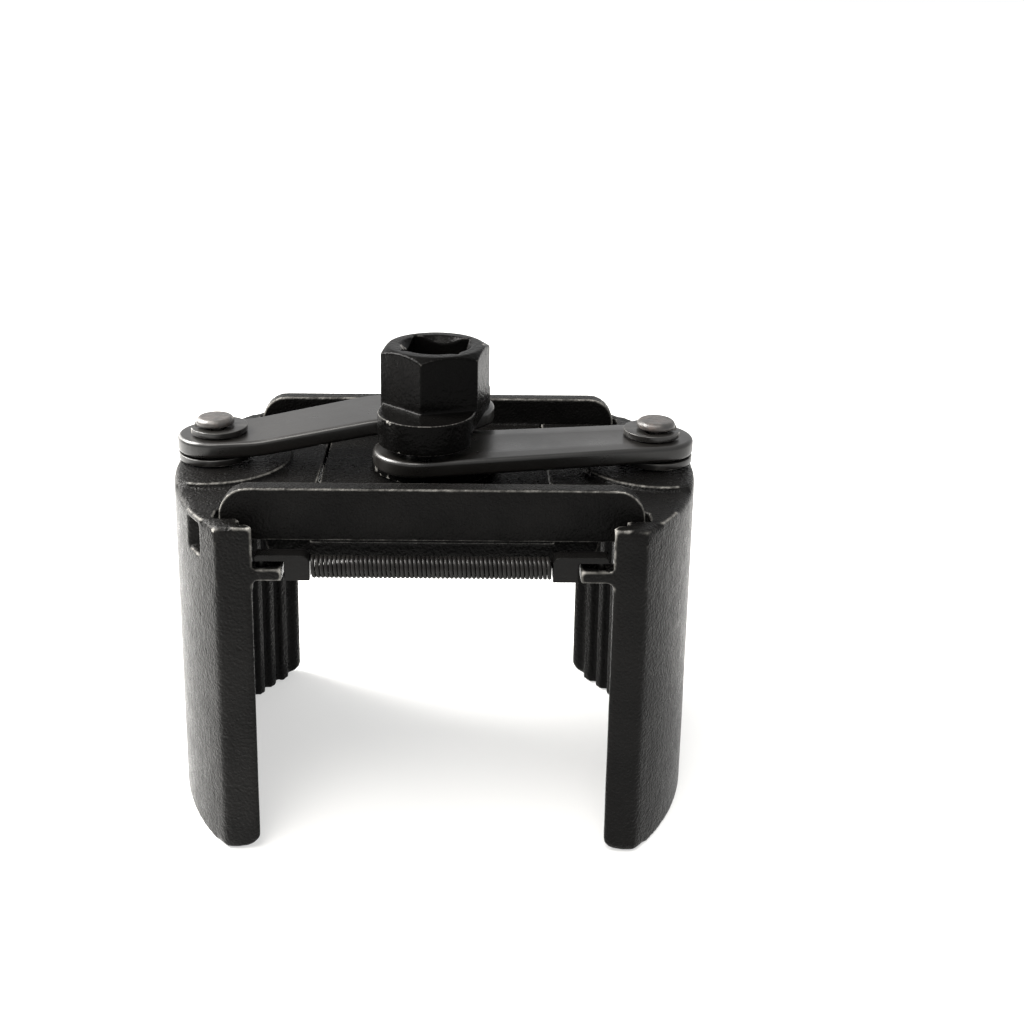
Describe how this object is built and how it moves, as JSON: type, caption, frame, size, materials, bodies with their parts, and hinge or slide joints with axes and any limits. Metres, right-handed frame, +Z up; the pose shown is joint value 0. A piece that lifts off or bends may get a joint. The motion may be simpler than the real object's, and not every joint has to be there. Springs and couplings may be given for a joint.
{
  "type": "oil filter wrench",
  "caption": "Cast two-jaw oil filter wrench: ribbed jaws slide on a bridge, worked by a hex hub with a square drive through flat crank links, drawn together by springs.",
  "frame": {"origin": "on the floor under the hub axis, at the lower ends of the jaws", "axes": "+X towards the right jaw, +Z up along the hub axis, -Y towards the viewer of the front spring"},
  "size_m": [0.1162, 0.0754, 0.1011],
  "materials": {
    "cast_black": "satin black phosphate coat over fine cast grain, edges slightly polished",
    "plate_black": "smooth black oxide on pressed plate",
    "pin_steel": "dark oxide with brownish rubs on the heads",
    "spring_steel": "oiled dark spring wire"
  },
  "bodies": {
    "frame": {"bridge": "cast_black", "front_spring": "spring_steel", "rear_spring": "spring_steel"},
    "hub": {"drive_hub": "cast_black", "crank_disc": "cast_black", "hub_retaining_ring": "spring_steel", "front_crank_pin": "pin_steel", "rear_crank_pin": "pin_steel"},
    "right_jaw_body": {"right_jaw": "cast_black", "right_jaw_pin": "pin_steel", "right_pin_clip": "plate_black", "right_link_washer": "plate_black", "front_right_spring_hook": "spring_steel", "rear_right_spring_hook": "spring_steel"},
    "left_jaw_body": {"left_jaw": "cast_black", "left_jaw_pin": "pin_steel", "left_pin_clip": "plate_black", "left_link_washer": "plate_black", "front_left_spring_hook": "spring_steel", "rear_left_spring_hook": "spring_steel"},
    "right_link_body": {"right_link": "plate_black"},
    "left_link_body": {"left_link": "plate_black"}
  },
  "joints": [
    {"name": "hub_turn", "type": "hinge", "parent": "frame", "child": "hub", "pos_m": [0, 0, 0.0795], "axis": [0, 0, 1], "range_deg": [0, 68.1]},
    {"name": "right_jaw_slide", "type": "slide", "parent": "frame", "child": "right_jaw_body", "axis": [1, 0, 0], "range_m": [0, 0.01005], "stiffness_N_per_m": 1200, "springref_m": -0.002},
    {"name": "left_jaw_slide", "type": "slide", "parent": "frame", "child": "left_jaw_body", "axis": [-1, 0, 0], "range_m": [0, 0.01005], "stiffness_N_per_m": 1200, "springref_m": -0.002},
    {"name": "right_link_swing", "type": "hinge", "parent": "right_jaw_body", "child": "right_link_body", "pos_m": [0.0496, 0, 0.078], "axis": [0, 0, 1], "range_deg": [-3.08, 0]},
    {"name": "left_link_swing", "type": "hinge", "parent": "left_jaw_body", "child": "left_link_body", "pos_m": [-0.0496, 0, 0.078], "axis": [0, 0, 1], "range_deg": [-3.08, 0]}
  ],
  "couplings": [
    {"joint": "hub_turn", "follows": "right_jaw_slide", "rad_per_m": 118.06},
    {"joint": "left_jaw_slide", "follows": "right_jaw_slide", "ratio": 1},
    {"joint": "right_link_swing", "follows": "right_jaw_slide", "rad_per_m": -5.313},
    {"joint": "left_link_swing", "follows": "right_jaw_slide", "rad_per_m": -5.313}
  ]
}
